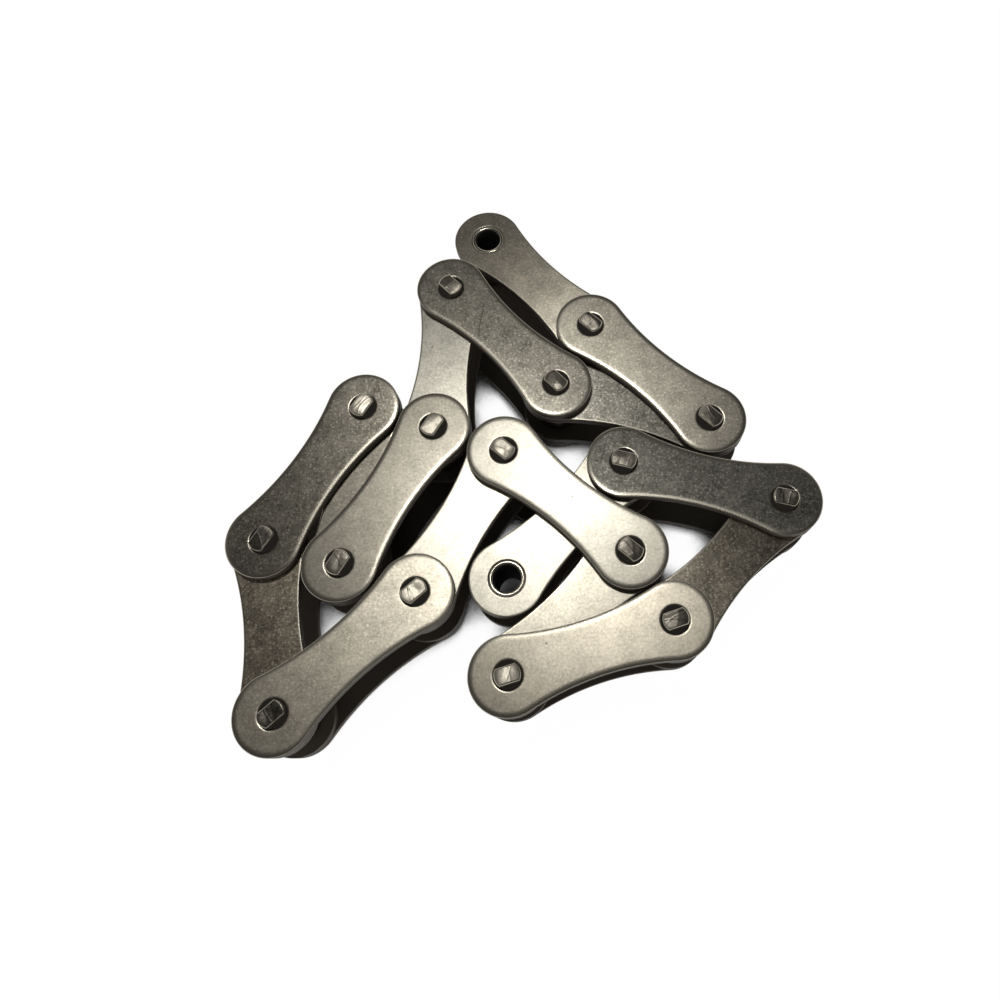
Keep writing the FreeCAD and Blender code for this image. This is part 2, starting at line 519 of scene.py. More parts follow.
@dataclass(frozen=True)
class PinFace:
    """Unevenness of one staked pin end.

    Attributes:
        lean: Slopes of the face towards the link's x and y.
        seed: Seed of its folds and lumps.
        bright: Lightness of the face, from 0 to 1: painted highlight on ends that catch the lamp and painted
            shade on ends that miss it.
        fold_slope: Slope of a fold on a face of no lightness.
        fold_fade: Lightness at which folds would vanish.
        line_offset: Farthest distance of a fold or scrape from the axis, in radii.
        line_bow: Strongest bow of its line, over the radius.
        line_strength: Weakest and strongest fold or scrape.
        lump_waves: Slowest and fastest wave of the lumps, in radians for each millimetre.
    """

    lean: Span
    seed: int
    bright: float
    fold_count: int = 2
    scrape_count: int = 2
    lump_count: int = 4
    fold_slope: float = 0.06
    fold_fade: float = 1.1
    fold_width: float = 0.06 * MM
    scrape_width: float = 0.09 * MM
    scrape_depth: float = 0.016 * MM
    line_offset: float = 0.4
    line_bow: float = 0.3
    line_strength: Span = (0.5, 1.0)
    lump_depth: float = 0.005 * MM
    lump_waves: Span = (1.2, 3.2)
    crown: float = 0.03 * MM

    def relief(self, x: np.ndarray, y: np.ndarray, reach: float) -> np.ndarray:
        """Height of the uneven face: a leaning plane less a crown, with folds, raised scrapes and lumps.

        A fold adds its slope times the root of d d + w w, where d is the distance from its bowed line and w
        its width; a scrape is a ridge exp(-(d/w)(d/w)); a lump is a product of two slow waves.

        Args:
            x: Distance along the link from the pin's axis.
            y: Distance across it.
            reach: Radius of the pin.

        Returns:
            Heights, none of them above 0.
        """
        chance = np.random.default_rng(self.seed)
        slope = self.fold_slope * (self.fold_fade - self.bright)
        height = self.lean[0] * x + self.lean[1] * y - self.crown * (x * x + y * y) / reach ** 2
        for line in range(self.fold_count + self.scrape_count):
            heading = chance.uniform(0.0, math.pi)
            offset = chance.uniform(-self.line_offset, self.line_offset) * reach
            bow = chance.uniform(-self.line_bow, self.line_bow) / reach
            off_line = x * math.cos(heading) + y * math.sin(heading)
            run = -x * math.sin(heading) + y * math.cos(heading)
            gap = off_line - offset - bow * run * run
            strength = chance.uniform(*self.line_strength) * chance.choice((-1.0, 1.0))
            if line < self.fold_count:
                height = height + strength * slope * np.sqrt(gap * gap + self.fold_width ** 2)
            else:
                ridge = np.exp(-(gap / self.scrape_width) ** 2)
                height = height + abs(strength) * self.scrape_depth * ridge
        for _ in range(self.lump_count):
            wave = chance.uniform(*self.lump_waves, 2) / MM
            phase = chance.uniform(0.0, 2.0 * math.pi, 2)
            along = np.sin(wave[0] * x + phase[0])
            height = height + self.lump_depth * along * np.sin(wave[1] * y + phase[1])
        return height - height.max()


@dataclass(frozen=True)
class Pin:
    """A pin staked flat on two sides at both ends.

    Attributes:
        sizes: The chain's sizes.
        face_width: Width across the two flats, at their foot.
        stake_depth: Depth of the staked ledges below the pin's end.
        nose_radius: Rounding of the end.
        wall_lean: How far the flats lean in towards the end.
        foot_radius: Rounding at their foot.
        edge_radius: Rounding at their upper edge.
        face_roll: How far the face drops towards its rim.
        roll_span: Shares of the face where that drop starts and is full.
        nose_rubbed: Shares of the nose where rubbing starts and is full.
        drop_rubbed: Drops below the end where it does so on the flats, in stake depths.
        high_rubbed: Heights where rubbing ends and is full, in stake depths over the ledge.
        rubbing: Rubbing on a face of no lightness, and how much it grows with the lightness.
        high_oil_shade: Heights where the dark oily colour is full and ends, in stake depths over the ledge; on
            the ledges it is partly oil and partly painted shade.
        nose_oil_shade: Shares of the nose where that colour starts and is full.
        side_oil_shade: Share of dark oily metal on the round side, partly oil and partly painted shade.
        side_shares: Where the rows of the round side lie.
    """

    sizes: ChainSizes
    face_width: float = 2.75 * MM
    stake_depth: float = 1.1 * MM
    nose_radius: float = 0.26 * MM
    wall_lean: float = 0.1 * MM
    foot_radius: float = 0.1 * MM
    edge_radius: float = 0.22 * MM
    face_roll: float = 0.015 * MM
    roll_span: Span = (0.7, 1.1)
    nose_rubbed: Span = (0.05, 0.3)
    drop_rubbed: Span = (0.0, 0.02)
    high_rubbed: Span = (0.84, 0.93)
    # rubbing: Rubbing on a face of no lightness, and how much it grows with the lightness; the rubbing is
    # wear, and its growth carries the painted highlight onto the edges.
    rubbing: Span = (0.3, 1.6)
    high_oil_shade: Span = (0.5, 0.9)
    nose_oil_shade: Span = (0.7, 1.0)
    side_oil_shade: float = 0.8
    side_shares: tuple[float, ...] = (0.0, 0.08, 0.5, 0.92, 1.0)
    ledge_rows: int = 8
    wall_rows: int = 4
    bend_steps: int = 4
    nose_steps: int = 6
    face_rows: int = 34
    face_columns: int = 40

    def half_rows(self) -> np.ndarray:
        """Section across one half of the end, from the pin's side over the ledge and the wall to the middle.

        Returns:
            Points of distance from the middle and height below the end.
        """
        radius = self.sizes.pin_diameter / 2
        half = self.face_width / 2
        foot_start = half + self.foot_radius
        round_side = np.linspace(math.pi / 2, math.asin(foot_start / radius), self.ledge_rows)
        ledge = np.stack([radius * np.sin(round_side), np.full(self.ledge_rows, -self.stake_depth)], axis=1)
        bend = quarter(self.bend_steps)[1:]
        foot = np.stack([foot_start - self.foot_radius * np.sin(bend),
                         -self.stake_depth + self.foot_radius * (1 - np.cos(bend))], axis=1)
        rise = np.linspace(0.0, 1.0, self.wall_rows + 1)[1:, None]
        edge_foot = np.array([half - self.wall_lean, -self.edge_radius])
        wall = foot[-1] + rise * (edge_foot - foot[-1])
        edge = np.stack([edge_foot[0] - self.edge_radius * (1 - np.cos(bend)),
                         -self.edge_radius * (1 - np.sin(bend))], axis=1)
        inner = np.linspace(edge[-1, 0], 0.0, self.face_rows // 2 + 1)[1:]
        face = np.stack([inner, np.zeros(inner.size)], axis=1)
        return np.concatenate([ledge, foot, wall, edge, face])

    def end(self, face: PinFace) -> Section:
        """Works out one end as a grid of rows across the pin.

        Each row runs between the pin's two sides at its distance y from the middle; its height is the lower
        one of the staked section and of the rounded nose, and the raised part follows the uneven face.

        Args:
            face: Unevenness of the end.

        Returns:
            Grid of points with the pin's end at height 0, and the shares of rubbed and of sheltered metal.
        """
        radius = self.sizes.pin_diameter / 2
        half = self.half_rows()
        rows = np.concatenate([half, half[-2::-1] * np.array([-1.0, 1.0])])
        y = rows[:, :1]
        side = np.sqrt(np.maximum(radius ** 2 - y ** 2, 0.0))
        foot = self.face_width / 2
        flat = radius - self.nose_radius
        foot_share = math.sqrt(flat ** 2 - foot ** 2) / math.sqrt(radius ** 2 - foot ** 2)
        nose = np.where(np.abs(y) < foot, np.sqrt(np.maximum(flat ** 2 - y ** 2, 0.0)), foot_share * side)
        round_share = 1.0 - np.cos(quarter(self.nose_steps))[None]
        left = -(side - (side - nose) * round_share)
        across = np.linspace(-1.0, 1.0, self.face_columns + 1)[None, 1:-1]
        x = np.concatenate([left, nose * across, -left[:, ::-1]], axis=1)
        y = np.broadcast_to(y, x.shape)
        off_axis = np.sqrt(x ** 2 + y ** 2)
        over = np.clip((off_axis - flat) / self.nose_radius, 0.0, 1.0)
        nose_height = -self.nose_radius * (1.0 - np.sqrt(1.0 - over ** 2))
        height = np.minimum(rows[:, 1:], nose_height)
        raised = 1.0 + height / self.stake_depth
        rim_share = np.maximum(np.abs(y) / (foot - self.wall_lean), off_axis / flat)
        roll = self.face_roll * smooth_step(*self.roll_span, rim_share)
        height = height + raised ** 2 * (face.relief(x, y, radius) - roll)
        on_flats = smooth_step(*self.drop_rubbed, 1.0 - raised)
        at_edge = np.maximum(smooth_step(*self.nose_rubbed, over), on_flats)
        strength = min(1.0, self.rubbing[0] + self.rubbing[1] * face.bright)
        rubbed = strength * at_edge * smooth_step(*self.high_rubbed, raised)
        # The ledges, the nose's fall and the sides take the dark oily colour: partly oil, partly painted
        # shade.
        low_down = 1.0 - smooth_step(*self.high_oil_shade, raised)
        sheltered = np.maximum(low_down, smooth_step(*self.nose_oil_shade, over))
        return np.stack([x, y, height], axis=2), rubbed, sheltered

    def build(self, surface: Surface, place: LinkPlace, far: bool, faces: dict[Side, PinFace]) -> None:
        """Adds the pin to a surface: its two ends, and its round side between their first and last columns.

        Args:
            surface: Surface to add to.
            place: Place of the link.
            far: Whether this is the pin at the link's second joint.
            faces: Unevenness of the upper and the lower end.
        """
        shift = self.sizes.joint(far) + self.sizes.pin_level * UP
        ends = {}
        for side, face in faces.items():
            grid, rubbed, sheltered = self.end(face)
            ends[side] = grid
            # The end's tone is its given lightness: painted highlight on light ends, painted shade on dark
            # ones.
            surface.tone = face.bright
            surface.add(place.placed(grid + shift, side), rubbed, sheltered)
        flip = np.array([1.0, -1.0, -1.0])
        share = np.array(self.side_shares)[:, None, None]
        for column in (0, -1):
            high = ends[Side.TOP][:, column] + shift
            low = (ends[Side.BOTTOM][::-1, column] + shift) * flip
            surface.add(place.placed(high + share * (low - high), Side.TOP), sheltered=self.side_oil_shade)


# Bushes and rollers

@dataclass(frozen=True)
class TurnedPiece:
    """A round piece about a joint, the same above and below the chain's middle.

    Attributes:
        sizes: The chain's sizes.
        steps: Columns of the full turn.
    """

    sizes: ChainSizes
    steps: int = 96

    def half_section(self) -> Section:
        """Gives the upper half as radius and height, with its shares of rubbed and sheltered metal."""
        raise NotImplementedError

    def build(self, surface: Surface, place: LinkPlace, far: bool) -> None:
        """Adds the piece to a surface: the half section and its mirror image below, turned about the joint.

        Args:
            surface: Surface to add to.
            place: Place of the link.
            far: Whether it sits at the link's second joint.
        """
        half, *shares = self.half_section()
        profile = np.concatenate([half, half[::-1][1:] * np.array([1.0, -1.0])])
        marks = [np.concatenate([share, share[::-1][1:]])[:, None] for share in shares]
        grid = revolved(profile, self.steps) + self.sizes.joint(far)
        surface.add(place.placed(grid, Side.TOP), *marks, closed=True)


def rounded_edge(outside: float, top: float, radius: float, turn: np.ndarray) -> np.ndarray:
    """Quarter circle from an end face to the outside: (outside - r (1 - sin t), top - r (1 - cos t))."""
    return np.stack([outside - radius * (1 - np.sin(turn)), top - radius * (1 - np.cos(turn))], axis=1)


@dataclass(frozen=True)
class Bush(TurnedPiece):
    """A bush pressed flush into the inner plates, with rounded mouths and edges.

    Attributes:
        mouth_radius: Rounding of the bore's mouth.
        edge_radius: Rounding of the outer edge.
        press_gap: Gap that is left to the plate's hole.
        bore_row: Height of a row in the bore, as a share of the half length.
        bright_span: Shares of a rounding between which the dark oily colour ends at the mouth, and starts
            outside; in the bore it is partly oil and partly painted shade.
        rim_span: Shares of the outer rounding between which rubbing ends.
    """

    mouth_radius: float = 0.42 * MM
    edge_radius: float = 0.28 * MM
    press_gap: float = 0.01 * MM
    bore_row: float = 0.6
    bright_span: Span = (0.5, 0.8)
    rim_span: Span = (0.4, 0.8)
    bend_steps: int = 8

    def half_section(self) -> Section:
        """Section from the bore's middle round the mouth and over the end face to the middle outside.

        Returns:
            Points of radius and height, and the shares of rubbed and of sheltered metal.
        """
        bore = self.sizes.bush_bore / 2
        outside = self.sizes.bush_diameter / 2 - self.press_gap
        top = self.sizes.inner_level + self.sizes.plate_thickness
        turn = quarter(self.bend_steps)
        mouth = np.stack([bore + self.mouth_radius * (1 - np.cos(turn)),
                          top - self.mouth_radius * (1 - np.sin(turn))], axis=1)
        edge = rounded_edge(outside, top, self.edge_radius, turn)
        half = np.concatenate([[[bore, 0.0], [bore, self.bore_row * top]], mouth, edge, [[outside, 0.0]]])
        share = turn / turn[-1]
        bright = smooth_step(*self.bright_span, share)
        rubbed = np.concatenate([np.zeros(2), bright, 1 - smooth_step(*self.rim_span, share), np.zeros(1)])
        # The bore and the outer wall take the dark oily colour: partly oil, partly painted shade in the bore.
        sheltered = np.concatenate([np.ones(2), 1 - bright, bright, np.ones(1)])
        return half, rubbed, sheltered


@dataclass(frozen=True)
class Roller(TurnedPiece):
    """A roller with rounded edges, turning on its bush.

    Attributes:
        edge_radius: Rounding of the outer edge.
        bore_chamfer: Width of the chamfer at the bore.
        edge_rubbed: Share of rubbed metal in the middle of the rounding.
        oil_shade_fade: Shares of the rounding between which the dark oily colour ends; it is partly oil and
            partly painted shade.
        track_row: Height of a row on the track, as a share of the half width.
        track_rubbed: Shares of rubbed metal at that row and in the middle.
        track_oil_shade: Shares of dark oily metal there.
    """

    edge_radius: float = 0.4 * MM
    bore_chamfer: float = 0.15 * MM
    edge_rubbed: float = 0.6
    oil_shade_fade: Span = (0.4, 1.0)
    track_row: float = 0.5
    track_rubbed: Span = (0.5, 0.8)
    track_oil_shade: Span = (0.1, 0.0)
    bend_steps: int = 6

    def half_section(self) -> Section:
        """Section from the bore's middle over the end face and round the edge to the middle of the track.

        Returns:
            Points of radius and height, and the shares of rubbed and of sheltered metal.
        """
        bore = self.sizes.roller_bore / 2
        outside = self.sizes.roller_diameter / 2
        top = self.sizes.roller_width / 2
        turn = quarter(self.bend_steps)
        inside = [[bore, 0.0], [bore, top - self.bore_chamfer], [bore + self.bore_chamfer, top]]
        track = [[outside, self.track_row * top], [outside, 0.0]]
        half = np.concatenate([inside, rounded_edge(outside, top, self.edge_radius, turn), track])
        rubbed = np.concatenate([np.zeros(3), self.edge_rubbed * np.sin(2 * turn) ** 2, self.track_rubbed])
        # The bore and the end faces take the dark oily colour: partly oil, partly painted shade.
        oil_shaded = 1 - smooth_step(*self.oil_shade_fade, turn / turn[-1])
        return half, rubbed, np.concatenate([np.ones(3), oil_shaded, self.track_oil_shade])


# Finishes

class NodeBoard:
    """A node tree with short ways to place nodes and join them."""

    def __init__(self, tree: bpy.types.NodeTree) -> None:
        """Takes the tree to work on."""
        self.tree = tree

    def join(self, source: bpy.types.NodeSocket, target: bpy.types.NodeSocket) -> None:
        """Joins an output to an input."""
        self.tree.links.new(source, target)

    def node(self, kind: str, values: dict | None = None, **settings: object) -> bpy.types.Node:
        """Places a node.

        Args:
            kind: Blender's name of the node.
            values: Inputs by name or number: a socket to join, or a value to set.
            **settings: Properties of the node.

        Returns:
            The node.
        """
        node = self.tree.nodes.new(kind)
        for name, setting in settings.items():
            setattr(node, name, setting)
        for name, value in (values or {}).items():
            if isinstance(value, bpy.types.NodeSocket):
                self.join(value, node.inputs[name])
            else:
                node.inputs[name].default_value = value
        return node

    def math(self, operation: str, *values: object, clamp: bool = False) -> bpy.types.NodeSocket:
        """Places a math node and gives its result."""
        node = self.node("ShaderNodeMath", dict(enumerate(values)), operation=operation, use_clamp=clamp)
        return node.outputs[0]

    def vector(self, operation: str, values: dict, result: str) -> bpy.types.NodeSocket:
        """Places a vector math node and gives one of its results."""
        return self.node("ShaderNodeVectorMath", values, operation=operation).outputs[result]

    def mixed(self, share: object, low: object, high: object) -> bpy.types.NodeSocket:
        """Mixes two values by a share."""
        return self.node("ShaderNodeMix", {0: share, 2: low, 3: high}).outputs[0]

    def between(self, share: object, low: object, high: object, blend: str = "MIX") -> bpy.types.NodeSocket:
        """Mixes two colours by a share."""
        first, second = (value if isinstance(value, bpy.types.NodeSocket) else (*value, 1.0)
                         for value in (low, high))
        node = self.node("ShaderNodeMix", {0: share, 6: first, 7: second}, data_type="RGBA", blend_type=blend)
        return node.outputs[2]

    def ramp(self, value: object, low: float, high: float, to_low: float = 0.0, to_high: float = 1.0,
             smooth: bool = True) -> bpy.types.NodeSocket:
        """Carries a value from one span to another."""
        node = self.node("ShaderNodeMapRange", {0: value, 1: low, 2: high, 3: to_low, 4: to_high},
                         interpolation_type="SMOOTHSTEP" if smooth else "LINEAR")
        return node.outputs[0]

    def noise(self, place: object, scale: object, detail: float, roughness: float) -> bpy.types.NodeSocket:
        """Places a noise of a number of cells for each metre."""
        values = {"Vector": place, "Scale": scale, "Detail": detail, "Roughness": roughness}
        return self.node("ShaderNodeTexNoise", values).outputs[0]

    def spots(self, place: object, scale: float, size: Span, share: Span,
              smooth: bool) -> bpy.types.NodeSocket:
        """Places spots in some cells: a fall with the distance, times a ramp of the cell's value.

        Args:
            place: The point on the piece.
            scale: Cells for each metre.
            size: Distances at which a spot starts to fade and ends, in cells.
            share: Values of the cells between which spots come in.
            smooth: Whether they come in smoothly.

        Returns:
            The spots' strength.
        """
        cells = self.node("ShaderNodeTexVoronoi", {"Vector": place, "Scale": scale}).outputs
        chosen = self.ramp(cells["Color"], *share, smooth=smooth)
        return self.math("MULTIPLY", self.ramp(cells["Distance"], *size, 1.0, 0.0), chosen)


def new_group(name: str, inputs: dict[str, float | None],
              outputs: tuple[str, ...]) -> tuple[NodeBoard, dict, dict]:
    """Starts a node group.

    Args:
        name: Name of the group.
        inputs: Names of the inputs with their usual values; None is a vector.
        outputs: Names of the outputs, all of them values.

    Returns:
        The board, the group's input sockets by name and its output sockets by name.
    """
    tree = bpy.data.node_groups.new(name, "ShaderNodeTree")
    for label, value in inputs.items():
        kind = "NodeSocketVector" if value is None else "NodeSocketFloat"
        socket = tree.interface.new_socket(name=label, in_out="INPUT", socket_type=kind)
        if value is not None:
            socket.default_value = value
    for label in outputs:
        tree.interface.new_socket(name=label, in_out="OUTPUT", socket_type="NodeSocketFloat")
    board = NodeBoard(tree)
    start = board.node("NodeGroupInput")
    end = board.node("NodeGroupOutput")
    return board, {s.name: s for s in start.outputs if s.name}, {s.name: s for s in end.inputs if s.name}


@dataclass(frozen=True)
class BlastedGrain:
    """Blasted grain: fine speckle, slow mottling and rare pits, as a height and a shade, and bright spots that
    are painted glints.

    Attributes:
        speckle_cells: Cells of the speckle and of the painted glints for each metre.
        slow_cells: Cells of the mottling for each metre.
        fine_noise: Detail and roughness of the fine grain.
        speckle_noise: Detail and roughness of the speckle.
        slow_noise: Detail and roughness of the mottling.
        pit_cells: Cells in which a pit may lie, for each metre.
        glint_size: Distances at which a painted glint starts to fade and ends, in cells.
        glint_share: Values of the cells between which painted glints come in.
        pit_size: Distances at which a pit starts to fade and ends, in cells.
        pit_share: Values of the cells between which pits come in.
        speckle_part: Part of the speckle in the shade.
        slow_part: Part of the mottling in it.
        shade_span: Values of their sum that are dark and light.
        pit_shade: How far a pit darkens the shade.
        pit_depth: How far a pit lowers the height.
    """

    speckle_cells: float = 2600.0
    slow_cells: float = 420.0
    fine_noise: Span = (2.0, 0.6)
    speckle_noise: Span = (2.0, 0.7)
    slow_noise: Span = (3.0, 0.55)
    pit_cells: float = 260.0
    glint_size: Span = (0.15, 0.6)
    glint_share: Span = (0.42, 0.85)
    pit_size: Span = (0.035, 0.06)
    pit_share: Span = (0.72, 0.74)
    speckle_part: float = 0.6
    slow_part: float = 0.4
    shade_span: Span = (0.34, 0.66)
    pit_shade: float = 1.2
    pit_depth: float = 0.6

    def build(self) -> bpy.types.NodeTree:
        """Builds the node group."""
        inputs = {"Place": None, "Fine cells": 4300.0}
        board, given, made = new_group("blasted grain", inputs, ("Height", "Shade", "Painted glints"))
        place = given["Place"]
        fine = board.noise(place, given["Fine cells"], *self.fine_noise)
        slow = board.noise(place, self.slow_cells, *self.slow_noise)
        speckle = board.noise(place, self.speckle_cells, *self.speckle_noise)
        # Bright spots in the colour that stand in for glints of the blasted facets: painted glints.
        painted_glints = board.spots(place, self.speckle_cells, self.glint_size, self.glint_share, smooth=False)
        pits = board.spots(place, self.pit_cells, self.pit_size, self.pit_share, smooth=True)
        shade = board.math("ADD", board.math("MULTIPLY", speckle, self.speckle_part),
                           board.math("MULTIPLY", slow, self.slow_part))
        spread = board.ramp(shade, *self.shade_span, smooth=False)
        pitted = board.math("SUBTRACT", spread, board.math("MULTIPLY", pits, self.pit_shade))
        height = board.math("SUBTRACT", fine, board.math("MULTIPLY", pits, self.pit_depth))
        for label, socket in (("Height", height), ("Shade", pitted), ("Painted glints", painted_glints)):
            board.join(socket, made[label])
        return board.tree


@dataclass(frozen=True)
class BrokenMask:
    """A mask that follows one of the surface's marks, with an edge that noise breaks up.

    Attributes:
        name: Name of the effect.
        mark: Name of the input that takes the mark.
        cells: Cells of the noise for each metre.
        detail: Detail of the noise.
        roughness: Roughness of the noise.
        wander: How far the noise moves the edge.
        span: Values between which the mask comes in.
        floor: Values of the mark itself between which it is let in.
    """

    name: str
    mark: str
    cells: float
    detail: float
    roughness: float
    wander: float
    span: Span
    floor: Span

    def build(self) -> bpy.types.NodeTree:
        """Builds the node group."""
        board, given, made = new_group(self.name, {"Place": None, self.mark: 0.0}, ("Mask",))
        noise = board.noise(given["Place"], self.cells, self.detail, self.roughness)
        moved = board.math("MULTIPLY", board.math("SUBTRACT", noise, 0.5), self.wander)
        broken = board.ramp(board.math("ADD", given[self.mark], moved), *self.span)
        board.join(board.math("MULTIPLY", broken, board.ramp(given[self.mark], *self.floor)), made["Mask"])
        return board.tree


RUBBED_EDGES = BrokenMask("rubbed edges", "Rubbed", cells=900.0, detail=3.0, roughness=0.6, wander=0.9,
                          span=(0.15, 0.75), floor=(0.02, 0.2))
# The oil film darkens walls, bores and inward faces: partly real oil, partly painted shade where light does
# not reach.
OIL_AND_SHADE = BrokenMask("oil film", "Sheltered", cells=600.0, detail=2.0, roughness=0.5, wander=0.5,
                      span=(0.2, 0.8), floor=(0.0, 0.15))


class SurfaceEffects:
    """The three effects that every steel of the chain shows, each built once as a node group."""

    def __init__(self) -> None:
        """Builds the groups."""
        self.grain = BlastedGrain().build()
        self.rubbing = RUBBED_EDGES.build()
        self.oil = OIL_AND_SHADE.build()


@dataclass(frozen=True)
class Hairline:
    """A fine straight scratch.

    Attributes:
        start: One end, in the chain's frame.
        end: The other end.
        width: Width over which it fades.
        core: Share of the width in which it is full.
        darkness: How far it goes from pale to dull.
    """

    start: Triple
    end: Triple
    width: float
    core: float = 0.3
    darkness: float = 0.4

    def mask(self, board: NodeBoard, place: bpy.types.NodeSocket) -> bpy.types.NodeSocket:
        """Gives 1 on the scratch and 0 off it, by the distance from the nearest point between its ends.

        Args:
            board: The material's nodes.
            place: The point on the piece.

        Returns:
            The mask.
        """
        span = Vector(self.end) - Vector(self.start)
        way = span.normalized()
        offset = board.vector("SUBTRACT", {0: place, 1: self.start}, "Vector")
        along = board.vector("DOT_PRODUCT", {0: offset, 1: way}, "Value")
        held = board.math("MINIMUM", board.math("MAXIMUM", along, 0.0), span.length)
        nearest = board.vector("SCALE", {0: way, "Scale": held}, "Vector")
        gap = board.vector("DISTANCE", {0: offset, 1: nearest}, "Value")
        return board.ramp(gap, self.core * self.width, self.width, 1.0, 0.0)


HAIRLINE = Hairline((-6.84 * MM, 25.36 * MM, 15.45 * MM), (-7.76 * MM, 19.15 * MM, 15.45 * MM), 0.14 * MM)
COOL_HUE = (0.95, 1.0, 1.06)
WARM_HUE = (1.06, 1.0, 0.94)


@dataclass(frozen=True)
class SteelFinish:
    """How one of the chain's steels looks.

    Attributes:
        steel: Which steel.
        dull: Colour in the grain's dark parts.
        pale: Colour in its light parts.
        rubbed: Colour of rubbed edges.
        oil_shaded: Dark colour under the oil, partly oil and partly painted shade.
        roughness: Roughness of the open surface.
        rubbed_roughness: Roughness of rubbed edges.
        fine_cells: Cells of the fine grain for each metre.
        grain_height: Height of the grain.
        grain_contrast: How far the grain goes between dull and pale, on a plain and on a speckled piece.
        tone_contrast: How far pieces differ between dull and pale.
        oiled_roughness: Roughness under the oil.
        oil_gloss: Specular level of the oil.
        speckle_roughness: How much rougher a speckled piece is.
        between_glints_dark: How far a speckled piece is darker between its painted glints.
        glint_light: How far its painted glints are lighter.
        hairline: A scratch that it has, or none.
    """

    steel: Steel
    dull: Colour
    pale: Colour
    rubbed: Colour
    oil_shaded: Colour
    roughness: float
    rubbed_roughness: float
    fine_cells: float
    grain_height: float
    grain_contrast: Span
    tone_contrast: float
    oiled_roughness: float = 0.6
    oil_gloss: float = 0.3
    speckle_roughness: float = 0.0
    between_glints_dark: float = 0.0
    glint_light: float = 0.1
    hairline: Hairline | None = None

    def material(self, effects: SurfaceEffects) -> bpy.types.Material:
        """Builds the material from the shared effects.

        Args:
            effects: The node groups.

        Returns:
            The material.
        """
        material = bpy.data.materials.new(self.steel.value)
        material.use_nodes = True
        board = NodeBoard(material.node_tree)
        shader = board.tree.nodes["Principled BSDF"].inputs
        place = board.node("ShaderNodeTexCoord").outputs["Object"]
        rubbed, sheltered, tone, speckle, warmth = (
            board.node("ShaderNodeAttribute", attribute_name=mark.value).outputs["Fac"] for mark in Mark)
        grain = board.node("ShaderNodeGroup", {"Place": place, "Fine cells": self.fine_cells},
                           node_tree=effects.grain).outputs
        rubbing = board.node("ShaderNodeGroup", {"Place": place, RUBBED_EDGES.mark: rubbed},
                             node_tree=effects.rubbing).outputs["Mask"]
        oil = board.node("ShaderNodeGroup", {"Place": place, OIL_AND_SHADE.mark: sheltered},
                         node_tree=effects.oil).outputs["Mask"]
        contrast = board.ramp(speckle, 0.0, 1.0, *self.grain_contrast, smooth=False)
        grain_part = board.math("MULTIPLY_ADD", board.math("SUBTRACT", grain["Shade"], 0.5), contrast, 0.5)
        tone_part = board.math("MULTIPLY_ADD", tone, self.tone_contrast, -0.5 * self.tone_contrast)
        # Painted glints: a speckled piece is darker between bright spots that stand in for glints.
        glint_shade = board.ramp(grain["Painted glints"], 0.0, 1.0, -self.between_glints_dark, self.glint_light, smooth=False)
        glint_part = board.math("MULTIPLY", speckle, glint_shade)
        toned = board.math("ADD", board.math("ADD", grain_part, tone_part), glint_part, clamp=True)
        if self.hairline:
            scratch = self.hairline.mask(board, place)
            toned = board.math("MULTIPLY_ADD", scratch, -self.hairline.darkness, toned, clamp=True)
        bare = board.between(toned, self.dull, self.pale)
        hue = board.between(board.math("MULTIPLY_ADD", warmth, 0.5, 0.5), COOL_HUE, WARM_HUE)
        edged = board.between(rubbing, board.between(1.0, bare, hue, "MULTIPLY"), self.rubbed)
        grainy = board.math("MULTIPLY_ADD", speckle, self.speckle_roughness, self.roughness)
        smoothed = board.mixed(rubbing, grainy, self.rubbed_roughness)
        relief = {"Height": grain["Height"], "Distance": self.grain_height, "Strength": 1.0}
        bump = board.node("ShaderNodeBump", relief)
        shader["Specular IOR Level"].default_value = self.oil_gloss
        # The dark colour under the oil is partly oil and partly painted shade.
        board.join(board.between(oil, edged, self.oil_shaded), shader["Base Color"])
        board.join(board.mixed(oil, smoothed, self.oiled_roughness), shader["Roughness"])
        board.join(board.math("SUBTRACT", 1.0, oil), shader["Metallic"])
        board.join(bump.outputs[0], shader["Normal"])
        return material


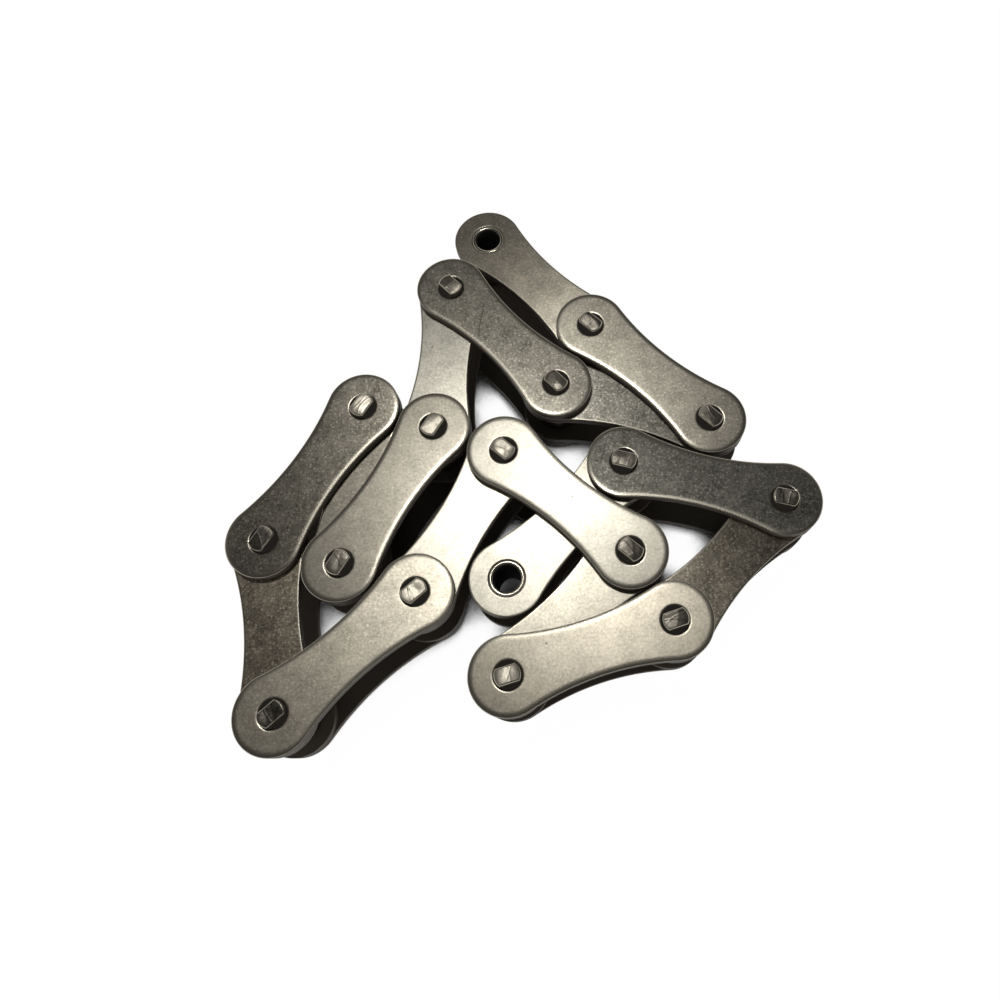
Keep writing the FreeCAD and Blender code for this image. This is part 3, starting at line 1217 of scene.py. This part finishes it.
# The colours under the oil, near black on bushes and rollers, are partly oil and partly painted shade.
FINISHES = (
    SteelFinish(Steel.PLATE, dull=(0.2, 0.186, 0.148), pale=(0.8, 0.737, 0.594), rubbed=(0.62, 0.572, 0.46),
                oil_shaded=(0.085, 0.072, 0.057), roughness=0.28, rubbed_roughness=0.25, fine_cells=4300.0,
                grain_height=0.0065 * MM, grain_contrast=(0.35, 0.75), tone_contrast=0.15,
                speckle_roughness=0.02, between_glints_dark=0.2, glint_light=0.8, hairline=HAIRLINE),
    # The pin's wide tone contrast carries each end's painted highlight and painted shade.
    SteelFinish(Steel.PIN, dull=(0.08, 0.073, 0.06), pale=(0.74, 0.68, 0.55), rubbed=(0.6, 0.55, 0.44),
                oil_shaded=(0.036, 0.03, 0.024), roughness=0.3, rubbed_roughness=0.28, fine_cells=3800.0,
                grain_height=0.006 * MM, grain_contrast=(0.2, 0.3), tone_contrast=1.2),
    SteelFinish(Steel.BUSH, dull=(0.3, 0.276, 0.222), pale=(0.74, 0.68, 0.55), rubbed=(0.66, 0.61, 0.49),
                oil_shaded=(0.012, 0.01, 0.008), roughness=0.26, rubbed_roughness=0.18, fine_cells=3800.0,
                grain_height=0.005 * MM, grain_contrast=(0.3, 0.5), tone_contrast=0.2),
    SteelFinish(Steel.ROLLER, dull=(0.2, 0.184, 0.15), pale=(0.52, 0.478, 0.385), rubbed=(0.46, 0.42, 0.34),
                oil_shaded=(0.016, 0.013, 0.01), roughness=0.26, rubbed_roughness=0.2, fine_cells=2600.0,
                grain_height=0.004 * MM, grain_contrast=(0.3, 0.5), tone_contrast=0.2, oiled_roughness=0.5),
)


# Links

@dataclass(frozen=True)
class Workshop:
    """What every link is made from: sizes and materials."""

    sizes: ChainSizes
    materials: dict[Steel, bpy.types.Material]

    def finish(self, surface: Surface, node: str, body: str, steel: Steel) -> None:
        """Makes a piece, dresses it, puts it on its body and lets it stand for its node.

        Args:
            surface: Surface of the piece.
            node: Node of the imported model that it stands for.
            body: Body that it moves with.
            steel: Its steel.
        """
        piece = surface.piece(f"finished_{node}")
        piece.data.materials.append(self.materials[steel])
        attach(piece, body)
        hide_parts(node)
        LOG.info("%s on %s: %d faces", piece.name, body, len(piece.data.polygons))


PLATE_TONES = (0.35, 0.65)


@dataclass(frozen=True)
class RollerLink:
    """A link of two inner plates on two bushes, each with its roller.

    Attributes:
        number: Its number among the roller links, from 1.
        place: Where it lies.
        seed: Seed of the tones of the first link's pieces, less 1.
        bush_tones: Darkest and lightest tone of a bush.
        roller_tones: Darkest and lightest tone of a roller.
    """

    number: int
    place: LinkPlace
    seed: int = 100
    bush_tones: Span = (0.4, 0.7)
    roller_tones: Span = (0.3, 0.7)

    def build(self, shop: Workshop) -> None:
        """Builds and dresses the plates, the bushes and the rollers."""
        sizes = shop.sizes
        chance = np.random.default_rng(self.seed + self.number)
        body = f"roller_link_{self.number}"
        plate = SidePlate(sizes, sizes.bush_diameter / 2, INNER_RIM, INNER_HOLE)
        plates = Surface(self.place)
        for side in Side:
            plates.tone = chance.uniform(*PLATE_TONES)
            plate.build(plates, self.place, side, sizes.inner_level)
        shop.finish(plates, f"inner_plates_{self.number}", body, Steel.PLATE)
        bushes = Surface(self.place)
        for far in (False, True):
            bushes.tone = chance.uniform(*self.bush_tones)
            Bush(sizes).build(bushes, self.place, far)
        shop.finish(bushes, f"bushes_{self.number}", body, Steel.BUSH)
        for far, letter in ((False, "a"), (True, "b")):
            roller = Surface()
            roller.tone = chance.uniform(*self.roller_tones)
            Roller(sizes).build(roller, self.place, far)
            own_body = f"roller_body_{self.number}{letter}"
            shop.finish(roller, f"roller_{self.number}{letter}", own_body, Steel.ROLLER)


@dataclass(frozen=True)
class PinLink:
    """A link of two outer plates on two staked pins.

    Attributes:
        number: Its number among the pin links, from 1.
        place: Where it lies.
        faces: Unevenness of its two pins' upper ends.
        seed: Seed of the tones of the first link's pieces, less 1.
        under_seed: What the seed of a pin's lower end has more than its upper end's.
        under_lean: Steepest slope of a lower end.
        under_bright: Lightness of a lower end.
        press_gap: Gap between a pin and the plate that it is pressed into.
    """

    number: int
    place: LinkPlace
    faces: tuple[PinFace, PinFace]
    seed: int = 200
    under_seed: int = 500
    under_lean: float = 0.04
    under_bright: float = 0.5
    press_gap: float = 0.005 * MM

    def build(self, shop: Workshop) -> None:
        """Builds and dresses the plates and the pins."""
        sizes = shop.sizes
        chance = np.random.default_rng(self.seed + self.number)
        body = f"pin_link_{self.number}"
        plate = SidePlate(sizes, sizes.pin_diameter / 2 + self.press_gap, OUTER_RIM, OUTER_HOLE)
        for side in Side:
            surface = Surface(self.place)
            surface.tone = chance.uniform(*PLATE_TONES)
            plate.build(surface, self.place, side, sizes.outer_level)
            shop.finish(surface, f"outer_plate_{side.name.lower()}_{self.number}", body, Steel.PLATE)
        pins = Surface()
        for far, face in zip((False, True), self.faces):
            steepest = self.under_lean
            lean = (chance.uniform(-steepest, steepest), chance.uniform(-steepest, steepest))
            under = PinFace(lean, face.seed + self.under_seed, self.under_bright)
            Pin(sizes).build(pins, self.place, far, {Side.TOP: face, Side.BOTTOM: under})
        shop.finish(pins, f"pins_{self.number}", body, Steel.PIN)


# Looks of the links along the chain, from its far end
LINK_LOOKS = (
    LinkLook(-2.4, -1.9, 0.4, 0.2, (0.4, -3.2)),
    LinkLook(-1.0, -1.5, 0.5, 0.0),
    LinkLook(1.4, -0.1, 1.0, -0.5, (-2.0, -2.2)),
    LinkLook(0.6, 0.7, 0.8, -0.2),
    LinkLook(0.7, -1.2, 0.2, -0.6),
    LinkLook(0.3, 0.7, 0.25, 0.0),
    LinkLook(0.0, 0.0, 0.5, 0.0),
    LinkLook(-1.1, -0.5, 0.9, 0.0, (-2.2, 0.4)),
    LinkLook(0.4, 0.2, 1.0, 1.0),
    LinkLook(2.05, 2.4, 0.35, 0.2, (-1.9, -1.2)),
    LinkLook(1.2, 0.6, 0.1, -0.3),
    LinkLook(-1.8, -0.8, 0.1, -0.3),
    LinkLook(-0.8, 1.4, 0.2, 0.0),
    LinkLook(-2.6, 1.9, 0.15, 0.3),
    LinkLook(1.8, 2.5, 1.0, 0.6, (5.5, 0.2)),
    LinkLook(0.3, 6.2, 1.0, -0.6, (-1.4, -1.8)),
    LinkLook(-0.8, 0.8, 0.1, -0.3),
)

# Lean of each pin's upper face towards +X and +Y in degrees and its lightness, along the chain;
# the lightness is painted highlight on light ends and painted shade on dark ones
PIN_FACES = (
    (0.0, 0.0, 0.25), (0.0, 0.0, 0.25), (0.5, 1.5, 0.3), (0.0, 0.0, 0.33),
    (1.0, -1.0, 0.42), (0.0, 0.0, 0.3), (3.0, -2.0, 0.65), (1.0, 0.0, 0.15),
    (2.0, 1.5, 0.15), (2.0, 1.5, 0.45), (0.5, -1.8, 0.52), (1.5, -1.0, 0.3),
    (0.5, 4.8, 0.45), (0.0, 0.0, 0.27), (-2.0, 0.0, 0.2), (1.5, 1.0, 0.27),
)


@dataclass(frozen=True)
class RollerChain:
    """The whole chain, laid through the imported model's joints."""

    joints: np.ndarray

    @classmethod
    def from_record(cls, record: dict) -> "RollerChain":
        """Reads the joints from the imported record: one end's open bush, the pins, the other end's."""
        mounts = {mount["name"]: mount["pos_m"] for mount in record["mounts"]}
        pins = [joint["pos_m"] for joint in record["behaviour"]["joints"] if joint["name"].startswith("pin_")]
        return cls(np.array([mounts["end_bush_a"], *pins, mounts["end_bush_b"]]))

    def place(self, index: int) -> LinkPlace:
        """Gives the place of a link by its index from the far end."""
        span = self.joints[index + 1] - self.joints[index]
        return LinkPlace(self.joints[index], span / np.linalg.norm(span), LINK_LOOKS[index])

    def pin_face(self, pin: int, place: LinkPlace) -> PinFace:
        """Gives the unevenness of a pin's upper end, with its lean turned into the link's axes.

        Args:
            pin: Number of the pin along the chain, from 1.
            place: Place of its link.

        Returns:
            The face.
        """
        east, north, bright = PIN_FACES[pin - 1]
        east_slope = -math.tan(math.radians(east))
        north_slope = -math.tan(math.radians(north))
        along = east_slope * place.along[0] + north_slope * place.along[1]
        across = -east_slope * place.along[1] + north_slope * place.along[0]
        return PinFace((along, across), pin, bright)

    def build(self, shop: Workshop) -> None:
        """Builds the links in their order along the chain."""
        for index in range(len(self.joints) - 1):
            place = self.place(index)
            number = index // 2 + 1
            if index % 2 == 0:
                RollerLink(number, place).build(shop)
            else:
                faces = (self.pin_face(index, place), self.pin_face(index + 1, place))
                PinLink(number, place, faces).build(shop)


# Studio

@dataclass(frozen=True)
class Studio:
    """A pale floor, a soft lamp, a soft sky and the camera.

    Attributes:
        lamp_way: Direction from the chain to the lamp.
        lamp_distance: Distance of the lamp.
        lamp_size: Its width.
        lamp_watts: Its power.
        horizon: Light of the sky near the horizon.
        zenith: Light of the sky overhead.
        sky_around: Heights between which it goes from one to the other, as upward parts of a unit vector.
        sky_behind: The same heights behind the chain, where it dims sooner.
        behind_span: Parts of the unit vector towards +Y between which the sky counts as behind.
        floor_size: Width of the floor.
        floor_paint: Colour of its paint, which takes the shadow.
        floor_glow: White that the eye and reflections see in it besides.
        gap_reach: Distance from the middle within which narrow gaps darken it.
        gap_shades: Reach of three looks around from the floor, and the open shares that are dark and white.
        gap_samples: Rays of each of those looks.
        camera_place: Where the camera stands.
        camera_tilt: Its tilt from straight down, in degrees.
        camera_turn: Its turn from +Y towards +X, in degrees.
        camera_roll: Its roll, in degrees.
        focal_share: Its focal length as a share of the picture's width.
        axis_share: Where its axis meets the picture, as shares from the left and from the top.
    """

    lamp_way: Triple = (-0.074, 0.281, 1.0)
    lamp_distance: float = 1.0
    lamp_size: float = 0.12
    lamp_watts: float = 0.91
    horizon: float = 0.8
    zenith: float = 0.03
    sky_around: Span = (0.3, 0.82)
    sky_behind: Span = (0.3, 0.65)
    behind_span: Span = (0.2, 0.45)
    floor_size: float = 6.0
    floor_paint: tuple[float, float, float, float] = (0.08, 0.08, 0.08, 1.0)
    floor_glow: float = 0.98
    gap_reach: float = 0.065
    gap_shades: tuple[Triple, ...] = ((0.005, 0.55, 0.66), (0.012, 0.12, 0.24), (0.03, 0.25, 0.36))
    gap_samples: int = 12
    camera_place: Triple = (8.32 * MM, -46.13 * MM, 140.58 * MM)
    camera_tilt: float = 21.8
    camera_turn: float = 0.36
    camera_roll: float = -1.43
    focal_share: float = 0.8447
    axis_share: Span = (0.5793, 0.419)
    sensor_width: float = 36.0
    near_clip: float = 0.005

    def build(self) -> None:
        """Sets up the floor, the light and the camera."""
        self.build_floor()
        self.build_lamp()
        self.build_sky()
        self.build_camera()
        bpy.context.scene.view_settings.view_transform = "Standard"

    def build_floor(self) -> None:
        """Lays the floor: white to the eye and in reflections, with a shadow, and darker in narrow gaps."""
        half = self.floor_size / 2
        square = [(x * half, y * half, 0.0) for x, y in ((-1, -1), (1, -1), (1, 1), (-1, 1))]
        mesh = bpy.data.meshes.new("floor")
        mesh.from_pydata(square, [], [(0, 1, 2, 3)])
        floor = bpy.data.objects.new("floor", mesh)
        bpy.context.scene.collection.objects.link(floor)
        material = bpy.data.materials.new("pale floor")
        material.use_nodes = True
        board = NodeBoard(material.node_tree)
        board.tree.nodes.remove(board.tree.nodes["Principled BSDF"])
        rays = board.node("ShaderNodeLightPath").outputs
        seen = board.math("ADD", board.math("ADD", rays["Is Camera Ray"], rays["Is Glossy Ray"]),
                          rays["Is Transmission Ray"], clamp=True)
        glow = board.math("MULTIPLY", seen, self.floor_glow)
        # Ambient occlusion dims the glow near the chain: painted shade on the floor in narrow gaps and under
        # the bores.
        looks = []
        for reach, low, high in self.gap_shades:
            around = board.node("ShaderNodeAmbientOcclusion", {"Distance": reach}, samples=self.gap_samples)
            looks.append(board.ramp(around.outputs["AO"], low, high))
        near_share, mid_share, far_share = looks
        open_share = board.math("MAXIMUM", board.math("MULTIPLY", near_share, mid_share), far_share)
        gap_glow = board.math("MULTIPLY", glow, open_share)
        place = board.node("ShaderNodeTexCoord").outputs["Object"]
        near = board.math("LESS_THAN", board.vector("LENGTH", {0: place}, "Value"), self.gap_reach)
        plain = board.node("ShaderNodeEmission", {"Strength": glow})
        shaded = board.node("ShaderNodeEmission", {"Strength": gap_glow})
        white = board.node("ShaderNodeMixShader", {0: near, 1: plain.outputs[0], 2: shaded.outputs[0]})
        paint = board.node("ShaderNodeBsdfDiffuse", {"Color": self.floor_paint})
        both = board.node("ShaderNodeAddShader", {0: paint.outputs[0], 1: white.outputs[0]})
        board.join(both.outputs[0], board.tree.nodes["Material Output"].inputs["Surface"])
        mesh.materials.append(material)

    def build_lamp(self) -> None:
        """Hangs a round soft lamp that faces the chain."""
        data = bpy.data.lights.new("soft lamp", "AREA")
        data.shape = "DISK"
        data.size = self.lamp_size
        data.energy = self.lamp_watts
        lamp = bpy.data.objects.new("soft lamp", data)
        way = Vector(self.lamp_way).normalized()
        turned = way.to_track_quat("Z", "Y").to_matrix().to_4x4()
        lamp.matrix_world = Matrix.Translation(way * self.lamp_distance) @ turned
        bpy.context.scene.collection.objects.link(lamp)

    def build_sky(self) -> None:
        """Fills in from all sides: bright at the horizon, dim overhead and high behind, white to the eye."""
        world = bpy.data.worlds.new("soft sky")
        bpy.context.scene.world = world
        world.use_nodes = True
        board = NodeBoard(world.node_tree)
        way = board.node("ShaderNodeTexCoord").outputs["Generated"]
        parts = board.node("ShaderNodeSeparateXYZ", {0: way}).outputs
        behind = board.ramp(parts["Z"], *self.sky_behind, self.horizon, self.zenith)
        around = board.ramp(parts["Z"], *self.sky_around, self.horizon, self.zenith)
        level = board.mixed(board.ramp(parts["Y"], *self.behind_span), around, behind)
        eye = board.node("ShaderNodeLightPath").outputs["Is Camera Ray"]
        back = board.tree.nodes["Background"].inputs
        back["Color"].default_value = (1.0, 1.0, 1.0, 1.0)
        board.join(board.mixed(eye, level, 1.0), back["Strength"])

    def build_camera(self) -> None:
        """Places the camera by its tilt, its turn and its roll, with the photo's framing as a shift."""
        data = bpy.data.cameras.new("camera")
        data.sensor_fit = "HORIZONTAL"
        data.sensor_width = self.sensor_width
        data.lens = self.focal_share * data.sensor_width
        data.shift_x = 0.5 - self.axis_share[0]
        data.shift_y = self.axis_share[1] - 0.5
        data.clip_start = self.near_clip
        camera = bpy.data.objects.new("camera", data)
        tilt = math.radians(self.camera_tilt)
        turn = math.radians(self.camera_turn)
        roll = math.radians(self.camera_roll)
        look = Vector((math.sin(turn) * math.sin(tilt), math.cos(turn) * math.sin(tilt), -math.cos(tilt)))
        level = Vector((math.cos(turn), -math.sin(turn), 0.0))
        upright = level.cross(look)
        right = math.cos(roll) * level + math.sin(roll) * upright
        above = math.cos(roll) * upright - math.sin(roll) * level
        turned = Matrix((right, above, -look)).transposed().to_4x4()
        camera.matrix_world = Matrix.Translation(self.camera_place) @ turned
        bpy.context.scene.collection.objects.link(camera)
        bpy.context.scene.camera = camera


def main() -> None:
    """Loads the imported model, builds the chain round it and sets up the studio."""
    logging.basicConfig(level=logging.INFO, format="%(name)s: %(message)s")
    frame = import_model()
    effects = SurfaceEffects()
    materials = {finish.steel: finish.material(effects) for finish in FINISHES}
    RollerChain.from_record(frame["record"]).build(Workshop(ChainSizes(), materials))
    Studio().build()


if __name__ == "__main__":
    main()
